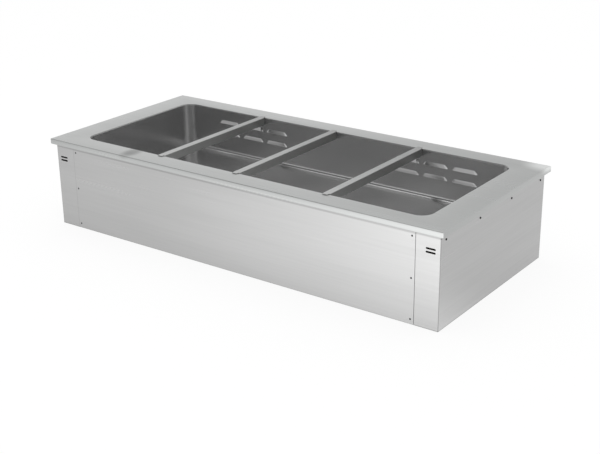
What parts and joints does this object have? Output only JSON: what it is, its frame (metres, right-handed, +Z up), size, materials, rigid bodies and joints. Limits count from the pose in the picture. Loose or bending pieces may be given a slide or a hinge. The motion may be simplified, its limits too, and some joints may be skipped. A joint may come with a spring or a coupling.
{
  "type": "drop in food well",
  "caption": "Drop-in food well: an open steel well under a flat rim that hangs in a counter cut-out, with lift-out crossbars for pans, warm air louvres and a service panel.",
  "frame": {"origin": "under the middle of the base, on the surface the part stands on", "axes": "+X along the length to the right, -Y towards the front panel, +Z up"},
  "size_m": [1.49, 0.66, 0.3018],
  "materials": {
    "rim_steel": "fine brushed stainless steel",
    "well_steel": "satin stainless steel, dark inside the well",
    "bar_steel": "fine brushed stainless steel",
    "panel_steel": "stainless steel brushed along its length",
    "screw_steel": "stainless steel, machined",
    "zinc_steel": "zinc-coated steel",
    "mineral_wool": "pressed mineral wool board",
    "seal_foam": "closed-cell foam rubber",
    "plug_rubber": "moulded rubber",
    "motor_iron": "stacked iron sheets with clear varnish",
    "element_steel": "heat-tinted steel tube",
    "black_plastic": "moulded black plastic",
    "pale_plastic": "moulded pale plastic"
  },
  "bodies": {
    "casing": {"top_frame": "rim_steel", "rim_seal": "seal_foam", "well_tub": "well_steel", "insulation_floor": "mineral_wool", "insulation_front": "mineral_wool", "insulation_left": "mineral_wool", "insulation_right": "mineral_wool", "rear_panel": "panel_steel", "left_side_panel": "panel_steel", "right_side_panel": "panel_steel", "rear_screw_1": "screw_steel", "rear_screw_2": "screw_steel", "rear_screw_3": "screw_steel", "rear_screw_4": "screw_steel", "left_side_screw_1": "screw_steel", "left_side_screw_2": "screw_steel", "left_side_screw_3": "screw_steel", "left_side_screw_4": "screw_steel", "right_side_screw_1": "screw_steel", "right_side_screw_2": "screw_steel", "right_side_screw_3": "screw_steel", "right_side_screw_4": "screw_steel", "base_pan": "zinc_steel", "front_rail": "zinc_steel", "rear_rail": "zinc_steel", "left_end_rail": "zinc_steel", "right_end_rail": "zinc_steel", "left_air_box": "zinc_steel", "right_air_box": "zinc_steel", "left_blower_scroll": "zinc_steel", "right_blower_scroll": "zinc_steel", "left_blower_motor": "motor_iron", "right_blower_motor": "motor_iron", "left_rotor_bush": "black_plastic", "right_rotor_bush": "black_plastic", "left_heating_element": "element_steel", "right_heating_element": "element_steel", "left_safety_thermostat": "black_plastic", "right_safety_thermostat": "black_plastic", "air_temperature_probe": "element_steel", "drain_waste": "rim_steel", "drain_gasket": "seal_foam", "drain_backnut": "pale_plastic", "drain_pipe": "pale_plastic", "terminal_block": "pale_plastic", "cable_gland": "black_plastic"},
    "left_bar": {"left_crossbar": "bar_steel"},
    "middle_bar": {"middle_crossbar": "bar_steel"},
    "right_bar": {"right_crossbar": "bar_steel"},
    "front_cover": {"front_panel": "panel_steel", "front_screw_1": "screw_steel", "front_screw_2": "screw_steel", "front_screw_3": "screw_steel", "front_screw_4": "screw_steel", "front_screw_5": "screw_steel", "front_screw_6": "screw_steel"},
    "left_rotor": {"left_blower_rotor": "zinc_steel"},
    "right_rotor": {"right_blower_rotor": "zinc_steel"},
    "plug": {"drain_plug": "plug_rubber"}
  },
  "joints": [
    {"name": "left_bar_lift", "type": "slide", "parent": "casing", "child": "left_bar", "axis": [0, 0, 1], "range_m": [0, 0.08]},
    {"name": "middle_bar_lift", "type": "slide", "parent": "casing", "child": "middle_bar", "axis": [0, 0, 1], "range_m": [0, 0.08]},
    {"name": "right_bar_lift", "type": "slide", "parent": "casing", "child": "right_bar", "axis": [0, 0, 1], "range_m": [0, 0.08]},
    {"name": "front_cover_pull", "type": "slide", "parent": "casing", "child": "front_cover", "axis": [0, -1, 0], "range_m": [0, 0.08]},
    {"name": "left_rotor_spin", "type": "hinge", "parent": "casing", "child": "left_rotor", "pos_m": [-0.355, 0.2855, 0.236], "axis": [1, 0, 0], "continuous": true},
    {"name": "right_rotor_spin", "type": "hinge", "parent": "casing", "child": "right_rotor", "pos_m": [0.383, 0.2855, 0.236], "axis": [1, 0, 0], "continuous": true},
    {"name": "plug_lift", "type": "slide", "parent": "casing", "child": "plug", "axis": [0, 0, 1], "range_m": [0, 0.18]}
  ]
}
